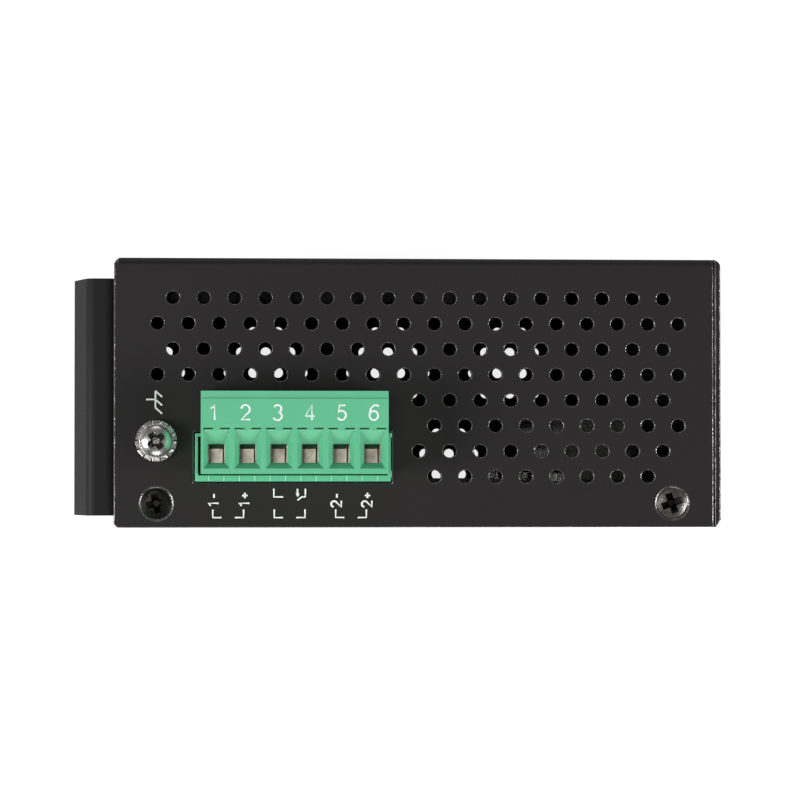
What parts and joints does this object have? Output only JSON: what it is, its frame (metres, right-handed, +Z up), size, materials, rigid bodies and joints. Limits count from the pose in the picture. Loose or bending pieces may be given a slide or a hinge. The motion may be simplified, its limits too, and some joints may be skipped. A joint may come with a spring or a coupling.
{
  "type": "din rail ethernet switch",
  "caption": "Slim DIN-rail ethernet switch: folded black steel case with vented ends, a column of network sockets, spring rail hook and plug-in screw terminal.",
  "frame": {"origin": "under the middle of the whole part, on the plane of the lower end plate", "axes": "+Z up on the rail, X along the rail, sockets face -Y, rail hook at +Y"},
  "size_m": [0.0448, 0.1094, 0.1455],
  "materials": {
    "case_paint": "fine textured black powder coat",
    "bracket_paint": "semi-gloss black coat",
    "black_screw": "black oxide",
    "spring_steel": "bright spring steel",
    "nickel_plate": "nickel plated",
    "circuit_board": "green solder mask",
    "green_plastic": "moulded polyamide",
    "tinned_metal": "tin plated",
    "zinc_steel": "zinc plated",
    "shield_steel": "tin plated sheet",
    "black_plastic": "moulded",
    "gold_plate": "gold plated wire",
    "lamp_plastic": "clear moulding",
    "black_aluminium": "black anodised",
    "capacitor_can": "sleeved can",
    "ferrite": "ferrite",
    "relay_plastic": "moulded"
  },
  "bodies": {
    "switch": {"board_screws": "nickel_plate", "board_standoffs": "nickel_plate", "bracket_screws": "black_screw", "bulk_capacitors": "capacitor_can", "case_shell": "case_paint", "cover_screws": "black_screw", "din_bracket": "bracket_paint", "din_spring": "spring_steel", "earth_nut": "nickel_plate", "earth_screw": "nickel_plate", "fault_relay": "relay_plastic", "header_pins": "tinned_metal", "heat_sink": "black_aluminium", "lamp_holder": "black_plastic", "lock_washer": "nickel_plate", "main_board": "circuit_board", "power_inductors": "ferrite", "power_transformer": "ferrite", "rj45_contacts_1": "gold_plate", "rj45_contacts_2": "gold_plate", "rj45_contacts_3": "gold_plate", "rj45_contacts_4": "gold_plate", "rj45_contacts_5": "gold_plate", "rj45_insert_1": "black_plastic", "rj45_insert_2": "black_plastic", "rj45_insert_3": "black_plastic", "rj45_insert_4": "black_plastic", "rj45_insert_5": "black_plastic", "rj45_shield_1": "shield_steel", "rj45_shield_2": "shield_steel", "rj45_shield_3": "shield_steel", "rj45_shield_4": "shield_steel", "rj45_shield_5": "shield_steel", "side_cover": "case_paint", "status_lamps": "lamp_plastic", "switch_chip": "black_plastic", "terminal_header": "green_plastic"},
    "plug": {"terminal_plug": "green_plastic", "plug_contacts": "tinned_metal"},
    "screw_1": {"clamp_screw_1": "zinc_steel"},
    "clamp_1": {"wire_clamp_1": "tinned_metal"},
    "screw_2": {"clamp_screw_2": "zinc_steel"},
    "clamp_2": {"wire_clamp_2": "tinned_metal"},
    "screw_3": {"clamp_screw_3": "zinc_steel"},
    "clamp_3": {"wire_clamp_3": "tinned_metal"},
    "screw_4": {"clamp_screw_4": "zinc_steel"},
    "clamp_4": {"wire_clamp_4": "tinned_metal"},
    "screw_5": {"clamp_screw_5": "zinc_steel"},
    "clamp_5": {"wire_clamp_5": "tinned_metal"},
    "screw_6": {"clamp_screw_6": "zinc_steel"},
    "clamp_6": {"wire_clamp_6": "tinned_metal"}
  },
  "joints": [
    {"name": "plug_out", "type": "slide", "parent": "switch", "child": "plug", "axis": [0, 0, 1], "range_m": [0, 0.014]},
    {"name": "screw_turn_1", "type": "hinge", "parent": "plug", "child": "screw_1", "pos_m": [-0.005, 0.02945, 0.14115], "axis": [-1, 0, 0], "range_deg": [0, 1880.5]},
    {"name": "clamp_rise_1", "type": "slide", "parent": "plug", "child": "clamp_1", "axis": [1, 0, 0], "range_m": [0, 0.00235]},
    {"name": "screw_turn_2", "type": "hinge", "parent": "plug", "child": "screw_2", "pos_m": [-0.005, 0.02437, 0.14115], "axis": [-1, 0, 0], "range_deg": [0, 1880.5]},
    {"name": "clamp_rise_2", "type": "slide", "parent": "plug", "child": "clamp_2", "axis": [1, 0, 0], "range_m": [0, 0.00235]},
    {"name": "screw_turn_3", "type": "hinge", "parent": "plug", "child": "screw_3", "pos_m": [-0.005, 0.01929, 0.14115], "axis": [-1, 0, 0], "range_deg": [0, 1880.5]},
    {"name": "clamp_rise_3", "type": "slide", "parent": "plug", "child": "clamp_3", "axis": [1, 0, 0], "range_m": [0, 0.00235]},
    {"name": "screw_turn_4", "type": "hinge", "parent": "plug", "child": "screw_4", "pos_m": [-0.005, 0.01421, 0.14115], "axis": [-1, 0, 0], "range_deg": [0, 1880.5]},
    {"name": "clamp_rise_4", "type": "slide", "parent": "plug", "child": "clamp_4", "axis": [1, 0, 0], "range_m": [0, 0.00235]},
    {"name": "screw_turn_5", "type": "hinge", "parent": "plug", "child": "screw_5", "pos_m": [-0.005, 0.00913, 0.14115], "axis": [-1, 0, 0], "range_deg": [0, 1880.5]},
    {"name": "clamp_rise_5", "type": "slide", "parent": "plug", "child": "clamp_5", "axis": [1, 0, 0], "range_m": [0, 0.00235]},
    {"name": "screw_turn_6", "type": "hinge", "parent": "plug", "child": "screw_6", "pos_m": [-0.005, 0.00405, 0.14115], "axis": [-1, 0, 0], "range_deg": [0, 1880.5]},
    {"name": "clamp_rise_6", "type": "slide", "parent": "plug", "child": "clamp_6", "axis": [1, 0, 0], "range_m": [0, 0.00235]}
  ],
  "couplings": [
    {"joint": "screw_turn_1", "follows": "clamp_rise_1", "rad_per_m": 13963},
    {"joint": "screw_turn_2", "follows": "clamp_rise_2", "rad_per_m": 13963},
    {"joint": "screw_turn_3", "follows": "clamp_rise_3", "rad_per_m": 13963},
    {"joint": "screw_turn_4", "follows": "clamp_rise_4", "rad_per_m": 13963},
    {"joint": "screw_turn_5", "follows": "clamp_rise_5", "rad_per_m": 13963},
    {"joint": "screw_turn_6", "follows": "clamp_rise_6", "rad_per_m": 13963}
  ]
}
